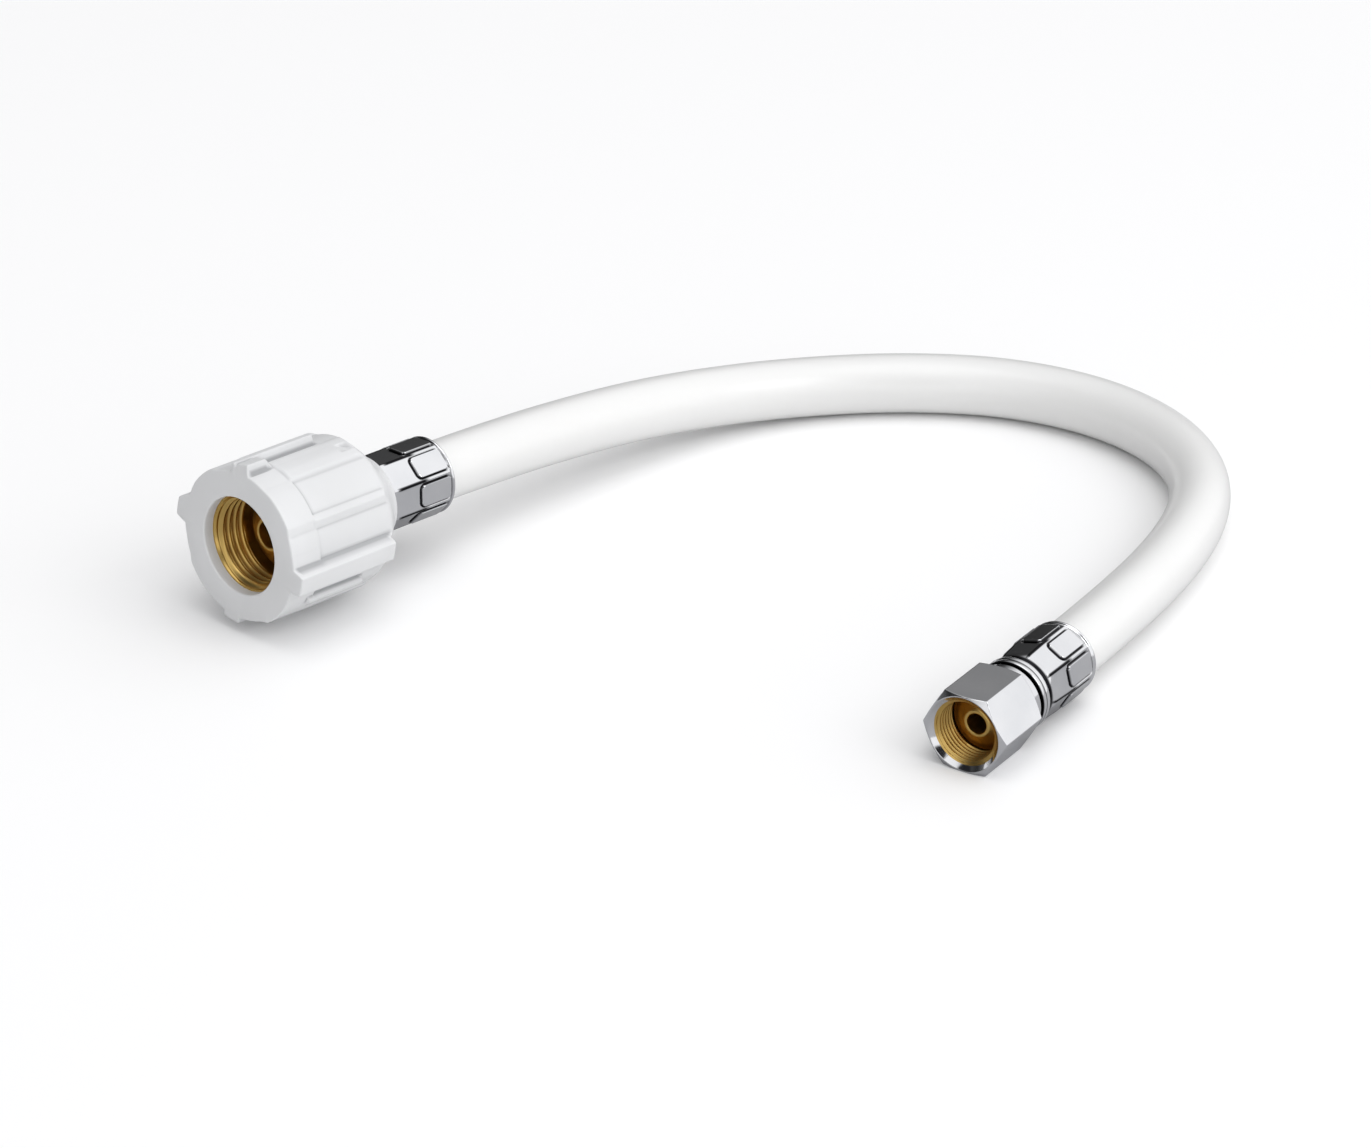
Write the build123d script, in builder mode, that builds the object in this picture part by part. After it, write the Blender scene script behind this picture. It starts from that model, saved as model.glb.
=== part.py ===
"""A reinforced vinyl faucet supply line, about 16 inches long over both fittings.

One end carries a plastic hand nut on a brass thread (1/2-14 straight pipe) for a faucet shank, the other
a chrome-plated hex nut (9/16-24, for 3/8 inch compression) for a stop valve. Each nut turns and slides on
the brass stem that is crimped into the hose. The line lies on a flat surface at z = 0, in millimetres.

Every fitting is drawn in its own frame: the origin is the centre of its mouth, depth runs from the mouth
into the fitting, and a turned part's outline is a list of (radius, depth) points.
"""
from build123d import *
from collections import namedtuple
from math import cos, pi, radians, sin, tan
import os

# ---------------------------------------------------------------- driving dimensions, millimetres
hose_od = 13.7
jacket_id = 11.8
liner_od = 11.2
hose_id = 9.5
hose_r = hose_od / 2

faucet_mouth = (-76.25, -34.36, 20.6)   # the nut stands on the rear end of its lowest lug
faucet_azimuth = 259.6                  # where the mouth points, in degrees from +X
faucet_tilt = 3.0                       # the mouth looks up a little
faucet_hose_depth = 36.5                # where the hose starts inside the ferrule
faucet_length = 56.43                   # from the mouth to the ferrule's hose end

valve_mouth = (85.1, -3.3, 8.73)        # the hex nut lies on one of its flats
valve_azimuth = 270.0
valve_tilt = 0.0
valve_hose_depth = 23.5
valve_length = 41.05

first_run = 36.5                        # the hose leaves each ferrule straight
last_run = 32.0
route_middle = [                        # corners of the hose's route between the two straight ends
    (-54.3, 74.5, 13.4),
    (-46.8, 100.0, 9.6),
    (-33.8, 122.0, 7.2),
    (-14.3, 139.0, hose_r),
    (8.7, 150.0, hose_r),
    (33.7, 151.5, hose_r),
    (56.2, 142.5, hose_r),
    (72.2, 124.0, hose_r),
    (80.7, 95.5, hose_r),
]

# hand nut, faucet end
shell_mouth_r = 10.96
shell_front_r = 17.4
shell_panel_r = 16.8
shell_lug_r = 19.2
shell_rear_bore_r = 9.3
shell_lug_end = 28.3
shell_length = 37.8
shell_bore_start = 30.0
shell_waist_r = 6.8                     # inner shoulder that keeps the shell off the ferrule
lug_width = 4.0
lug_angle = 7.0                         # the first lug, from the level side of the nut
panel_start = 8.3
wide_panel = (26.0, 30.0)               # start and sweep of each recessed panel, in degrees after 0
narrow_panel = (66.0, 25.0)
insert_front = 2.6
insert_rear = 22.0
insert_across_flats = 23.4
pipe_pitch = 25.4 / 14
pipe_crest_r = 9.5
pipe_root_r = 10.45
pipe_first_crest = 4.1
pipe_crest_width = 0.5
pipe_full_grooves = 2
pipe_runout_width = 1.6
insert_seat = 17.5                      # the shoulder that the slip washer bears on
insert_waist_r = 6.4

# hex nut, valve end
hex_across_flats = 17.46                # 11/16 inch
hex_length = 16.0
hex_collar_r = 7.9
hex_nut_length = 18.7
hex_chamfer_r = 8.6
comp_pitch = 25.4 / 24
comp_crest_r = 6.62
comp_root_r = 7.14
comp_first_crest = 1.5
comp_crest_width = 0.33
comp_full_grooves = 3
comp_runout_width = 0.95
hex_mouth_r = 8.4
hex_bevel_end = (7.44, 0.95)
hex_relief_r = 7.35
hex_seat = 11.6
hex_waist_r = 4.75

# ferrules
ferrule_facets = 8
faucet_ferrule_front = 34.0
faucet_ferrule_r = 8.35
faucet_pads = (46.5, 55.3)              # from and to, measured from the mouth
valve_ferrule_front = 19.3
valve_ferrule_r = 7.75
valve_pads = (30.5, 39.3)
pad_height = 0.3
pad_width = 4.6
pad_corner = 0.9

Fitting = namedtuple("Fitting", "section profile axis")


# ---------------------------------------------------------------- shared geometry
def fitting_frame(mouth, azimuth, tilt):
    """A fitting's frame: a cross-section plane at its mouth, a profile plane through its axis, and the axis."""
    flat = cos(radians(tilt))
    outward = Vector(cos(radians(azimuth)) * flat, sin(radians(azimuth)) * flat, sin(radians(tilt)))
    side = outward.cross(Vector(0, 0, 1)).normalized()
    inward = outward * -1
    section = Plane(origin=mouth, x_dir=side, z_dir=inward)
    profile = Plane(origin=mouth, x_dir=side, z_dir=side.cross(inward))
    return Fitting(section, profile, Axis(mouth, inward))


def at_depth(fitting, depth):
    """The point on a fitting's axis at this depth behind its mouth."""
    return fitting.axis.position + fitting.axis.direction * depth


def turn(fitting, outline, mode=Mode.ADD):
    """Turns a closed outline of (radius, depth) points about the fitting's axis."""
    with BuildSketch(fitting.profile) as face:
        with BuildLine():
            Polyline(*outline, close=True)
        make_face()
    revolve(profiles=face.sketch, axis=fitting.axis, mode=mode)


def cut_thread(fitting, crest_r, root_r, start, width, pitch, count):
    """Cuts a row of V grooves, one per thread turn, with the given width at the crests."""
    floor = max(width - 2 * (root_r - crest_r) * tan(radians(30)), 0.12)
    margin = 0.2
    flare = margin * (width - floor) / 2 / (root_r - crest_r)
    for k in range(count):
        middle = start + k * pitch + width / 2
        turn(
            fitting,
            [
                (crest_r - margin, middle - width / 2 - flare),
                (root_r, middle - floor / 2),
                (root_r, middle + floor / 2),
                (crest_r - margin, middle + width / 2 + flare),
            ],
            mode=Mode.SUBTRACT,
        )


def ring_sectors(inner, outer, start, sweep, count):
    """Equally spaced pieces of a ring, in the current sketch."""
    for k in range(count):
        with BuildLine() as edge:
            low = CenterArc((0, 0), inner, start + k * 360 / count, sweep)
            high = CenterArc((0, 0), outer, start + k * 360 / count, sweep)
            Line(low @ 0, high @ 0)
            Line(low @ 1, high @ 1)
        make_face(edge.line.edges())


def pad_plane(fitting, angle, radius, depth):
    """A plane that touches a ferrule at this angle and radius, with its local Y along the fitting's axis."""
    around = fitting.section.x_dir * cos(radians(angle)) + fitting.section.y_dir * sin(radians(angle))
    inward = fitting.axis.direction
    centre = at_depth(fitting, depth) + around * radius
    return Plane(origin=centre, x_dir=inward.cross(around), z_dir=around)


def crimp_pads(fitting, radius, span, first_angle):
    """Raises one rounded rectangular pad on each facet of a ferrule."""
    sunk = 0.5
    for k in range(ferrule_facets):
        angle = first_angle + k * 360 / ferrule_facets
        plane = pad_plane(fitting, angle, radius - sunk, (span[0] + span[1]) / 2)
        with BuildSketch(plane) as pad:
            RectangleRounded(pad_width, span[1] - span[0], pad_corner)
        extrude(to_extrude=pad.sketch, amount=sunk + pad_height)


def facet(fitting, apothem, span, first_angle):
    """Trims the part's outside to flats over this stretch of depth."""
    with BuildSketch(fitting.section.offset(span[0])) as cut:
        Circle(2 * apothem)
        RegularPolygon(apothem, ferrule_facets, major_radius=False, rotation=first_angle, mode=Mode.SUBTRACT)
    extrude(to_extrude=cut.sketch, amount=span[1] - span[0], mode=Mode.SUBTRACT)


faucet = fitting_frame(faucet_mouth, faucet_azimuth, faucet_tilt)
valve = fitting_frame(valve_mouth, valve_azimuth, valve_tilt)

# ---------------------------------------------------------------- the hose's route
route = [
    at_depth(faucet, faucet_hose_depth),
    at_depth(faucet, faucet_hose_depth + first_run),
    *[Vector(*corner) for corner in route_middle],
    at_depth(valve, valve_hose_depth + last_run),
    at_depth(valve, valve_hose_depth),
]


def corner_radii(points):
    """The largest arc that each corner's two runs allow."""
    radii = []
    for before, here, after in zip(points, points[1:], points[2:]):
        turned = (here - before).get_angle(after - here)
        shorter = min((here - before).length, (after - here).length)
        radii.append(0.45 * shorter / tan(radians(turned / 2)))
    return radii


radii = corner_radii(route)
with BuildLine() as hose_path:
    FilletPolyline(*route, radius=radii)
hose_wire = hose_path.wires()[0]
hose_length = hose_wire.length
hose_start = Plane(origin=route[0], z_dir=faucet.axis.direction)


def hose_layer(outer_d, inner_d):
    """Sweeps one concentric layer of the hose along its route, in the current part."""
    with BuildSketch(hose_start) as ring:
        Circle(outer_d / 2)
        Circle(inner_d / 2, mode=Mode.SUBTRACT)
    sweep(sections=ring.sketch, path=hose_wire)


# ---------------------------------------------------------------- hose
with BuildPart() as hose_jacket:
    hose_layer(hose_od, jacket_id)

with BuildPart() as hose_braid:
    hose_layer(jacket_id, liner_od)

with BuildPart() as hose_liner:
    hose_layer(liner_od, hose_id)

# ---------------------------------------------------------------- faucet end
# brass stem: a stepped cone nose, a flange that holds the nut, a neck that it turns on, and a barbed tail
stem_bore_r = 2.9
neck_r = 6.1
tail_r = hose_id / 2
barb_r = tail_r + 0.3
with BuildPart() as faucet_stem:
    turn(
        faucet,
        [
            (stem_bore_r, 8.5),
            (3.7, 8.5),
            (4.1, 8.85),
            (5.9, 9.9),
            (6.3, 10.5),
            (7.4, 11.0),
            (9.0, 12.4),
            (9.0, 15.4),
            (neck_r, 15.4),
            (neck_r, faucet_ferrule_front),
            (5.2, faucet_ferrule_front),
            (5.2, faucet_ferrule_front + 2.0),
            (tail_r, faucet_ferrule_front + 2.0),
            (tail_r, 54.0),
            (stem_bore_r, 54.0),
        ],
    )
    for barb in (39.0, 43.5, 48.0):
        turn(faucet, [(tail_r - 0.5, barb), (barb_r, barb), (tail_r, barb + 3.0), (tail_r - 0.5, barb + 3.0)])

with BuildPart() as faucet_slip_washer:
    turn(faucet, [(6.45, 16.3), (9.6, 16.3), (9.6, 17.4), (6.45, 17.4)])

# brass insert: a hexagon outside, pressed into the shell, and the straight pipe thread inside
with BuildPart() as faucet_nut_insert:
    with BuildSketch(faucet.section.offset(insert_front)):
        RegularPolygon(insert_across_flats / 2, 6, major_radius=False)
    extrude(amount=insert_rear - insert_front)
    turn(
        faucet,
        [
            (0, insert_front),
            (10.6, insert_front),
            (pipe_crest_r, pipe_first_crest),
            (pipe_crest_r, 11.2),
            (pipe_root_r, 12.0),
            (pipe_root_r, insert_seat),
            (insert_waist_r, insert_seat),
            (insert_waist_r, insert_rear),
            (0, insert_rear),
        ],
        mode=Mode.SUBTRACT,
    )
    groove_start = pipe_first_crest + pipe_crest_width
    groove_width = pipe_pitch - pipe_crest_width
    cut_thread(faucet, pipe_crest_r, pipe_root_r, groove_start, groove_width, pipe_pitch, pipe_full_grooves)
    runout_start = groove_start + pipe_full_grooves * pipe_pitch
    cut_thread(faucet, pipe_crest_r, pipe_root_r, runout_start, pipe_runout_width + 0.04, pipe_runout_width, 2)

# plastic shell: a front collar, four gripping lugs, recessed panels between them and a rounded tail
with BuildPart() as faucet_nut_shell:
    turn(
        faucet,
        [
            (0, 0),
            (shell_front_r - 0.4, 0),
            (shell_front_r, 0.4),
            (shell_front_r, 28.6),
            (16.6, 29.9),
            (13.2, 33.4),
            (10.2, 37.0),
            (9.8, shell_length),
            (0, shell_length),
        ],
    )
    with BuildSketch(faucet.section):
        for k in range(4):
            with Locations((Rotation(0, 0, lug_angle + 90 * k) * Pos(15.6, 0)).position):
                RectangleRounded(2 * (shell_lug_r - 15.6), lug_width, 0.5, rotation=lug_angle + 90 * k)
    extrude(amount=shell_lug_end)
    for start, span in (wide_panel, narrow_panel):
        with BuildSketch(faucet.section.offset(panel_start)) as panels:
            ring_sectors(shell_panel_r, shell_lug_r + 1, start, span, 4)
        extrude(to_extrude=panels.sketch, amount=shell_length - panel_start, mode=Mode.SUBTRACT)
    turn(
        faucet,
        [
            (0, 0),
            (shell_mouth_r + 0.3, 0),
            (shell_mouth_r, 0.3),
            (shell_mouth_r, insert_front),
            (shell_waist_r, insert_front),
            (shell_waist_r, shell_bore_start),
            (shell_rear_bore_r, shell_bore_start),
            (shell_rear_bore_r, shell_length),
            (0, shell_length),
        ],
        mode=Mode.SUBTRACT,
    )
    with BuildSketch(faucet.section.offset(insert_front)):
        RegularPolygon(insert_across_flats / 2, 6, major_radius=False)
    extrude(amount=insert_rear - insert_front, mode=Mode.SUBTRACT)

# chrome ferrule: an inner flange that grips the stem, a crimped faceted sleeve and a rolled rim
with BuildPart() as faucet_ferrule:
    front = faucet_ferrule_front
    turn(
        faucet,
        [
            (5.2, front),
            (faucet_ferrule_r - 0.7, front),
            (faucet_ferrule_r, front + 0.9),
            (faucet_ferrule_r, faucet_length - 1.0),
            (8.58, faucet_length - 0.6),
            (8.5, faucet_length - 0.15),
            (8.2, faucet_length),
            (hose_r, faucet_length),
            (hose_r, front + 2.0),
            (5.2, front + 2.0),
        ],
    )
    facet(faucet, faucet_ferrule_r - 0.3, (front + 1.0, faucet_length - 1.0), 132.8)
    crimp_pads(faucet, faucet_ferrule_r - 0.3, faucet_pads, 132.8)

# ---------------------------------------------------------------- valve end
valve_bore_r = 2.4
valve_neck_r = 4.4
with BuildPart() as valve_stem:
    turn(
        valve,
        [
            (valve_bore_r, 5.4),
            (3.4, 5.4),
            (3.75, 5.7),
            (5.0, 6.5),
            (7.1, 8.2),
            (7.1, 9.6),
            (valve_neck_r, 9.6),
            (valve_neck_r, valve_ferrule_front + 3.5),
            (tail_r, valve_ferrule_front + 4.2),
            (tail_r, 38.5),
            (valve_bore_r, 38.5),
        ],
    )
    for barb in (26.0, 29.8, 33.6):
        turn(valve, [(tail_r - 0.5, barb), (barb_r, barb), (tail_r, barb + 2.6), (tail_r - 0.5, barb + 2.6)])

with BuildPart() as valve_slip_washer:
    turn(valve, [(4.75, 10.5), (6.95, 10.5), (6.95, 11.5), (4.75, 11.5)])

# chrome-plated brass nut: hexagon with chamfered ends, a round collar behind it, bevelled mouth and thread
with BuildPart() as valve_hex_nut:
    with BuildSketch(valve.section):
        RegularPolygon(hex_across_flats / 2, 6, major_radius=False)
    extrude(amount=hex_length)
    hex_corner_r = hex_across_flats / 2 / cos(pi / 6) + 0.05
    slope = tan(radians(30))
    turn(
        valve,
        [
            (0, 0),
            (hex_chamfer_r, 0),
            (hex_corner_r, (hex_corner_r - hex_chamfer_r) * slope),
            (hex_corner_r, hex_length - (hex_corner_r - 8.2) * slope),
            (8.2, hex_length),
            (0, hex_length),
        ],
        mode=Mode.INTERSECT,
    )
    collar_end = (hex_collar_r - 0.3, hex_nut_length)
    turn(valve, [(0, 14.0), (hex_collar_r, 14.0), (hex_collar_r, 18.4), collar_end, (0, hex_nut_length)])
    turn(
        valve,
        [
            (0, 0),
            (hex_mouth_r, 0),
            hex_bevel_end,
            (comp_crest_r, comp_first_crest),
            (comp_crest_r, 6.9),
            (hex_relief_r, 7.5),
            (hex_relief_r, hex_seat),
            (hex_waist_r, hex_seat),
            (hex_waist_r, hex_nut_length),
            (0, hex_nut_length),
        ],
        mode=Mode.SUBTRACT,
    )
    groove_start = comp_first_crest + comp_crest_width
    groove_width = comp_pitch - comp_crest_width
    cut_thread(valve, comp_crest_r, comp_root_r, groove_start, groove_width, comp_pitch, comp_full_grooves)
    runout_start = groove_start + comp_full_grooves * comp_pitch
    cut_thread(valve, comp_crest_r, comp_root_r, runout_start, comp_runout_width + 0.04, comp_runout_width, 2)

# chrome ferrule: a rolled bead behind the nut, a waist, the crimped sleeve and a rolled rim
with BuildPart() as valve_ferrule:
    front = valve_ferrule_front
    turn(
        valve,
        [
            (valve_neck_r, front),
            (7.5, front),
            (8.0, front + 0.6),
            (8.0, front + 2.4),
            (7.3, front + 3.1),
            (7.2, front + 3.4),
            (7.45, front + 4.0),
            (valve_ferrule_r, valve_pads[0] - 0.5),
            (valve_ferrule_r, valve_length - 1.0),
            (7.9, valve_length - 0.6),
            (7.85, valve_length - 0.15),
            (7.6, valve_length),
            (hose_r, valve_length),
            (hose_r, valve_hose_depth),
            (tail_r, valve_hose_depth),
            (valve_neck_r, front + 3.5),
        ],
    )
    facet(valve, valve_ferrule_r - 0.25, (front + 4.4, valve_length - 1.0), 120.8)
    crimp_pads(valve, valve_ferrule_r - 0.25, valve_pads, 120.8)

# ---------------------------------------------------------------- output
pieces = dict(
    hose_jacket=hose_jacket,
    hose_braid=hose_braid,
    hose_liner=hose_liner,
    faucet_stem=faucet_stem,
    faucet_slip_washer=faucet_slip_washer,
    faucet_nut_insert=faucet_nut_insert,
    faucet_nut_shell=faucet_nut_shell,
    faucet_ferrule=faucet_ferrule,
    valve_stem=valve_stem,
    valve_slip_washer=valve_slip_washer,
    valve_hex_nut=valve_hex_nut,
    valve_ferrule=valve_ferrule,
)
os.makedirs("parts", exist_ok=True)
for name, piece in pieces.items():
    piece.part.label = name
    export_step(piece.part, f"parts/{name}.step")

print("hose corner radii, mm:", [round(radius, 1) for radius in radii])
print("hose length, mm:", round(hose_length, 1))
swept_volume = pi / 4 * (hose_od**2 - jacket_id**2) * hose_length
print("jacket volume, mm3:", round(hose_jacket.part.volume, 1), "section x length:", round(swept_volume, 1))
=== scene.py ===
"""Looks of the faucet supply line: a milky vinyl hose, a plastic hand nut over brass, and a chrome hex nut.

Each fitting is drawn in its own frame, in millimetres: the origin is the centre of its mouth, x points level
to the left of somebody who looks into the mouth, y points up and z is the depth behind the mouth.
"""

from math import cos, pi, radians, sin, tan

import bmesh
import bpy
import numpy as np
from mathutils import Matrix, Vector


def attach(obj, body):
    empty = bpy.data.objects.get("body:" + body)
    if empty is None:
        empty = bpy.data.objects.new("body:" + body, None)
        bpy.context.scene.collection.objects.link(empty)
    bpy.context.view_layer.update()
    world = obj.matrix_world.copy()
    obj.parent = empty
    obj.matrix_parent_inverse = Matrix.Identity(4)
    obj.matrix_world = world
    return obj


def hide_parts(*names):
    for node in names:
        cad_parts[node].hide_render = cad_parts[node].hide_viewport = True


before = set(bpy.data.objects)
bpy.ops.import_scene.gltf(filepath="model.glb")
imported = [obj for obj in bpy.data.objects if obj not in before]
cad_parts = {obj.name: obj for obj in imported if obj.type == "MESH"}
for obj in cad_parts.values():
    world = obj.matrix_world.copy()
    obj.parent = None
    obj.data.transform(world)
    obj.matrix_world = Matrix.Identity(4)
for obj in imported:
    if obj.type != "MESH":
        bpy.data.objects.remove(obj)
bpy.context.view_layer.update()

MM = 0.001
UP = Vector((0, 0, 1))
WELD_DISTANCE = 2e-6        # metres
DEGENERATE_LENGTH = 1e-7    # metres
FLAT_DEPTH = 1e-6           # millimetres: a face of a thread that is squeezed flatter than this is left out

# ------------------------------------------------------------------------------------------- the fittings' frames
# the radii of the hose's layers, and the depth where the hose starts behind each mouth, in millimetres
HOSE_R = 6.85
JACKET_ID_R = 5.9
LINER_OD_R = 5.6
HOSE_ID_R = 4.75
LAYER_GAP = 0.01            # keeps the hose's layers from sharing a surface
FAUCET_HOSE_DEPTH = 36.5
VALVE_HOSE_DEPTH = 23.5


def fitting(mouth, azimuth, tilt):
    """The matrix that takes a fitting's own millimetres to the scene's metres."""
    flat = cos(radians(tilt))
    outward = Vector((cos(radians(azimuth)) * flat, sin(radians(azimuth)) * flat, sin(radians(tilt))))
    side = outward.cross(UP).normalized()
    inward = -outward
    upward = inward.cross(side)
    turn = Matrix((side, upward, inward)).transposed().to_4x4()
    return Matrix.Translation(Vector(mouth) * MM) @ turn


FAUCET = fitting((-76.25, -34.36, 20.6), 259.6, 3.0)
VALVE = fitting((85.1, -3.3, 8.73), 270.0, 0.0)


def at_depth(place, depth):
    """The point on a fitting's axis at this depth, in metres."""
    return place @ Vector((0, 0, depth * MM))


# ------------------------------------------------------------------------------------------- mesh helpers
def collection_link(obj):
    bpy.context.scene.collection.objects.link(obj)
    return obj


def bmesh_from(mesh):
    work = bmesh.new()
    work.from_mesh(mesh)
    return work


def finish_mesh(name, verts, faces, materials, slots=None, place=None, sharp=30.0):
    """Makes an object from vertices in millimetres, welded and with outward normals.

    place is the object's matrix; an edge that turns by more than sharp, in degrees, isn't smoothed.
    """
    mesh = bpy.data.meshes.new(name)
    mesh.from_pydata([tuple(v) for v in np.asarray(verts) * MM], [], faces)
    for material in materials:
        mesh.materials.append(material)
    if slots is not None:
        mesh.polygons.foreach_set("material_index", np.asarray(slots, dtype=np.int32))
    work = bmesh_from(mesh)
    bmesh.ops.remove_doubles(work, verts=work.verts, dist=WELD_DISTANCE)
    bmesh.ops.dissolve_degenerate(work, edges=work.edges, dist=DEGENERATE_LENGTH)
    bmesh.ops.recalc_face_normals(work, faces=work.faces)
    work.to_mesh(mesh)
    work.free()
    mesh.shade_smooth()
    mesh.set_sharp_from_angle(angle=radians(sharp))
    obj = collection_link(bpy.data.objects.new(name, mesh))
    if place is not None:
        obj.matrix_world = place
    return obj


def darken(obj, function):
    """Stores the painted shade at each point, from 0 to 1, by angle in degrees, depth and radius."""
    mesh = obj.data
    co = np.empty(len(mesh.vertices) * 3, dtype=np.float32)
    mesh.vertices.foreach_get("co", co)
    x, y, z = (co.reshape(-1, 3) / MM).T
    value = np.clip(function(np.degrees(np.arctan2(y, x)), z, np.hypot(x, y)), 0, 1)
    layer = mesh.attributes.new("painted_shade", "FLOAT", "POINT")
    layer.data.foreach_set("value", value.astype(np.float32))
    return obj


def near(value, middle, width):
    """1 at the middle, falling off to nothing over about twice the width."""
    return np.exp(-(((value - middle) / width) ** 2))


def flat_top(value, middle, reach):
    """1 near the middle, and nothing beyond the reach."""
    return 1 - ramp(np.abs(value - middle), reach * 0.6, reach)


def grid(radius, depth, angles):
    """Vertices and faces of a closed-round grid: row i, column j is at (radius[i, j], depth[i, j], angles[j])."""
    rows, columns = radius.shape
    x = radius * np.cos(angles)[None, :]
    y = radius * np.sin(angles)[None, :]
    verts = np.stack([x, y, depth], axis=-1).reshape(-1, 3)
    i = np.arange(rows - 1)[:, None]
    j = np.arange(columns)[None, :]
    k = (j + 1) % columns
    faces = np.stack([i * columns + j, i * columns + k, (i + 1) * columns + k, (i + 1) * columns + j], axis=-1)
    return verts, faces.reshape(-1, 4)


def plain_rings(columns, points):
    """One grid row, the same all the way round, for each (radius, depth) point."""
    return [(np.full((1, columns), float(r)), np.full((1, columns), float(z))) for r, z in points]


def stack_rings(rings):
    """Piles rows of (radius, depth) arrays into a grid's two arrays."""
    return np.concatenate([r for r, _ in rings]), np.concatenate([z for _, z in rings])


def join(parts):
    """Joins (verts, faces, slot) groups into one list of vertices, faces and face slots."""
    verts, faces, slots, count = [], [], [], 0
    for part_verts, part_faces, slot in parts:
        verts.append(part_verts)
        faces.extend((np.asarray(part_faces) + count).tolist())
        slots.extend([slot] * len(part_faces))
        count += len(part_verts)
    return np.concatenate(verts), faces, slots


def rounded(points, steps=4):
    """An outline whose corners, given as (radius, depth, fillet), are turned into short curves."""
    out = []
    count = len(points)
    for n, (r, z, fillet) in enumerate(points):
        here = np.array((r, z))
        if fillet == 0 or n in (0, count - 1):
            out.append(here)
            continue
        before = np.array(points[n - 1][:2]) - here
        after = np.array(points[n + 1][:2]) - here
        reach = min(fillet, 0.45 * np.linalg.norm(before), 0.45 * np.linalg.norm(after))
        start = here + before / np.linalg.norm(before) * reach
        end = here + after / np.linalg.norm(after) * reach
        for t in np.linspace(0, 1, steps + 1):
            out.append((1 - t) ** 2 * start + 2 * t * (1 - t) * here + t**2 * end)
    return np.array(out)


def subdivide(outline, longest):
    """Adds points to an outline so that no run is longer than this."""
    out = [outline[0]]
    for a, b in zip(outline, outline[1:]):
        pieces = max(1, int(np.ceil(np.linalg.norm(b - a) / longest)))
        out.extend(a + (b - a) * t for t in np.linspace(0, 1, pieces + 1)[1:])
    return np.array(out)


def lathe(points, columns=96, longest=1.0):
    """A turned body's grid from a closed outline of (radius, depth, fillet) points."""
    outline = subdivide(rounded(points), longest)
    outline = np.concatenate([outline, outline[:1]])
    angles = np.linspace(0, 2 * pi, columns, endpoint=False)
    ones = np.ones((1, columns))
    return grid(outline[:, :1] * ones, outline[:, 1:] * ones, angles)


def lines(low, high, coarse, edges, fine, reach):
    """Grid lines from low to high: coarse everywhere and fine within reach of each edge."""
    values = set(np.round(np.linspace(low, high, int(round((high - low) / coarse)) + 1), 4))
    for edge in edges:
        close = np.arange(-reach, reach + fine / 2, fine) + edge
        values = {v for v in values if abs(v - edge) > reach + fine * 0.3}
        values |= set(np.round(close[(close >= low) & (close <= high)], 4))
    return np.array(sorted(values))


def ramp(x, start, end):
    """Rises smoothly from 0 at start to 1 at end."""
    t = np.clip((x - start) / (end - start), 0, 1)
    return t * t * (3 - 2 * t)


# ------------------------------------------------------------------------------------------- threads
def cone(z, start, end):
    """The radius at depth z on the line through two (depth, radius) points."""
    (start_z, start_r), (end_z, end_r) = start, end
    return start_r + (end_r - start_r) * (z - start_z) / (end_z - start_z)


def thread_grid(front, back, pitch, profile, limits, columns=120):
    """The inside of a threaded hole between two depths, a right-hand helix.

    profile is one turn's (offset in pitches, radius) points; limits(z) is the least radius that the mouth's bevel
    and the relief behind the thread leave at depth z.
    """
    offsets = np.array([p[0] for p in profile]) * pitch
    radii = np.array([p[1] for p in profile])
    turns = range(-1, int(np.ceil((back - front) / pitch)) + 1)
    u = np.concatenate([offsets + n * pitch for n in turns])
    base = np.tile(radii, len(turns))
    angles = np.linspace(0, 2 * pi, columns + 1)
    z = np.clip(front + u[:, None] + pitch * angles[None, :] / (2 * pi), front, back)
    wanted = np.maximum(base[:, None], limits(z))
    wanted = np.where((z <= front) | (z >= back), limits(z), wanted)
    x = wanted * np.cos(angles)[None, :]
    y = wanted * np.sin(angles)[None, :]
    verts = np.stack([x, y, z], axis=-1)
    rows, cols = z.shape
    faces = []
    for i in range(rows - 1):
        for j in range(cols - 1):
            quad = (z[i, j], z[i, j + 1], z[i + 1, j + 1], z[i + 1, j])
            if max(quad) - min(quad) < FLAT_DEPTH:
                continue
            a = i * cols + j
            faces.append((a, a + 1, a + cols + 1, a + cols))
    return verts.reshape(-1, 3), faces


# ------------------------------------------------------------------------------------------- materials
def new_material(name):
    material = bpy.data.materials.new(name)
    material.use_nodes = True
    nodes = material.node_tree.nodes
    shader = nodes["Principled BSDF"]
    return material, nodes, material.node_tree.links, shader


def object_coords(nodes):
    return nodes.new("ShaderNodeTexCoord").outputs["Object"]


def noise(nodes, links, vector, scale, detail=3.0, rough=0.5):
    node = nodes.new("ShaderNodeTexNoise")
    node.inputs["Scale"].default_value = scale
    node.inputs["Detail"].default_value = detail
    node.inputs["Roughness"].default_value = rough
    links.new(vector, node.inputs["Vector"])
    return node.outputs["Fac"]


def color_ramp(nodes, links, fac, stops):
    node = nodes.new("ShaderNodeValToRGB")
    elements = node.color_ramp.elements
    while len(elements) < len(stops):
        elements.new(0.5)
    for element, (position, color) in zip(elements, stops):
        element.position = position
        element.color = (*color, 1)
    links.new(fac, node.inputs["Fac"])
    return node.outputs["Color"]


def math_node(nodes, links, operation, *values):
    node = nodes.new("ShaderNodeMath")
    node.operation = operation
    for socket, value in zip(node.inputs, values):
        links.new(value, socket)
    return node.outputs["Value"]


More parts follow.
